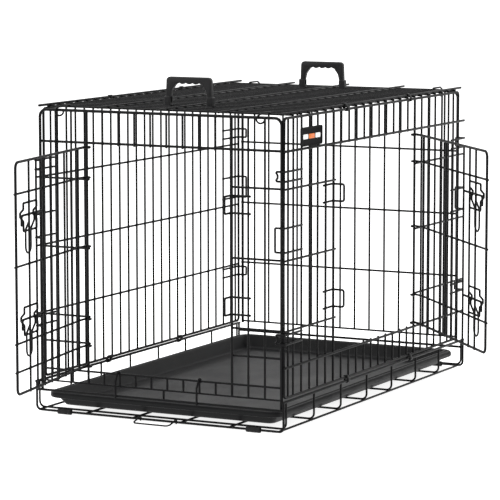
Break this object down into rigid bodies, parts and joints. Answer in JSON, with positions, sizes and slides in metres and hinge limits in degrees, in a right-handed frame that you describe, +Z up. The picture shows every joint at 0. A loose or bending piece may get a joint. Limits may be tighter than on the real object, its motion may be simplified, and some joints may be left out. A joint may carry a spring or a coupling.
{
  "type": "folding wire dog crate",
  "caption": "Folding wire dog crate with a front door and a side door on slide bolts, a slide-out plastic tray, carry handles on the roof and a blank nameplate.",
  "frame": {"origin": "on the floor, under the middle of the outline with both doors standing open", "axes": "+Z up, +Y from the front end with its door and tray slot to the back end, +X from the left side to the right side with the side door"},
  "size_m": [0.8894, 1.2864, 0.7041],
  "materials": {
    "wire": "black satin coat on steel wire",
    "handle_plastic": "moulded black, fine grain",
    "tray_plastic": "black sheet, slight sheen",
    "foot_rubber": "matt black"
  },
  "bodies": {
    "crate_frame": {"back_left_foot": "foot_rubber", "back_left_lower_hook": "wire", "back_left_middle_hook": "wire", "back_left_top_hook": "wire", "back_left_upper_hook": "wire", "back_right_foot": "foot_rubber", "back_right_lower_hook": "wire", "back_right_middle_hook": "wire", "back_right_top_hook": "wire", "back_right_upper_hook": "wire", "base_frame": "wire", "front_door_lower_catch": "wire", "front_door_upper_catch": "wire", "front_left_foot": "foot_rubber", "front_left_lower_hook": "wire", "front_left_middle_hook": "wire", "front_left_sill_hook": "wire", "front_left_top_hook": "wire", "front_left_upper_hook": "wire", "front_panel": "wire", "front_right_foot": "foot_rubber", "front_right_lower_hook": "wire", "front_right_middle_hook": "wire", "front_right_sill_hook": "wire", "front_right_top_hook": "wire", "front_right_upper_hook": "wire", "left_back_base_clip": "wire", "left_back_roof_clip": "wire", "left_front_base_clip": "wire", "left_front_roof_clip": "wire", "left_side_panel": "wire", "nameplate": "handle_plastic", "right_back_base_clip": "wire", "right_back_roof_clip": "wire", "right_front_base_clip": "wire", "right_front_roof_clip": "wire", "right_side_panel": "wire", "side_door_lower_catch": "wire", "side_door_upper_catch": "wire", "top_panel": "wire"},
    "tray": {"tray": "tray_plastic"},
    "pan_stop": {"pan_stop": "wire"},
    "back_panel": {"back_panel": "wire"},
    "front_door": {"front_door": "wire", "front_door_upper_bolt_guide": "wire", "front_door_lower_bolt_guide": "wire"},
    "side_door": {"side_door": "wire", "side_door_upper_bolt_guide": "wire", "side_door_lower_bolt_guide": "wire"},
    "front_door_upper_bolt": {"front_door_upper_bolt": "wire"},
    "front_door_lower_bolt": {"front_door_lower_bolt": "wire"},
    "side_door_upper_bolt": {"side_door_upper_bolt": "wire"},
    "side_door_lower_bolt": {"side_door_lower_bolt": "wire"},
    "front_handle": {"front_handle": "handle_plastic"},
    "back_handle": {"back_handle": "handle_plastic"}
  },
  "joints": [
    {"name": "front_door_hinge", "type": "hinge", "parent": "crate_frame", "child": "front_door", "pos_m": [-0.31909, -0.27736, 0.334], "axis": [0, 0, -1], "range_deg": [-80.8, 69.4]},
    {"name": "side_door_hinge", "type": "hinge", "parent": "crate_frame", "child": "side_door", "pos_m": [0.13651, 0.36333, 0.3505], "axis": [0, 0, 1], "range_deg": [-42.3, 107.3]},
    {"name": "front_door_upper_bolt_slide", "type": "slide", "parent": "front_door", "child": "front_door_upper_bolt", "axis": [0.1599, -0.9871, 0], "range_m": [0, 0.027]},
    {"name": "front_door_lower_bolt_slide", "type": "slide", "parent": "front_door", "child": "front_door_lower_bolt", "axis": [0.1599, -0.9871, 0], "range_m": [0, 0.027]},
    {"name": "side_door_upper_bolt_slide", "type": "slide", "parent": "side_door", "child": "side_door_upper_bolt", "axis": [0.673, -0.7396, 0], "range_m": [0, 0.027]},
    {"name": "side_door_lower_bolt_slide", "type": "slide", "parent": "side_door", "child": "side_door_lower_bolt", "axis": [0.673, -0.7396, 0], "range_m": [0, 0.027]},
    {"name": "tray_slide", "type": "slide", "parent": "crate_frame", "child": "tray", "axis": [0, 1, 0], "range_m": [-0.85, 0]},
    {"name": "pan_stop_hinge", "type": "hinge", "parent": "crate_frame", "child": "pan_stop", "pos_m": [-0.15034, -0.28556, 0.006], "axis": [-1, 0, 0], "range_deg": [0, 85]},
    {"name": "back_panel_hinge", "type": "hinge", "parent": "crate_frame", "child": "back_panel", "pos_m": [-0.15034, 0.62902, 0.638], "axis": [-1, 0, 0], "range_deg": [0, 80]},
    {"name": "front_handle_hinge", "type": "hinge", "parent": "crate_frame", "child": "front_handle", "pos_m": [-0.16034, -0.12417, 0.6426], "axis": [1, 0, 0], "range_deg": [-75, 75]},
    {"name": "back_handle_hinge", "type": "hinge", "parent": "crate_frame", "child": "back_handle", "pos_m": [-0.16034, 0.51333, 0.6426], "axis": [1, 0, 0], "range_deg": [-75, 75]}
  ]
}
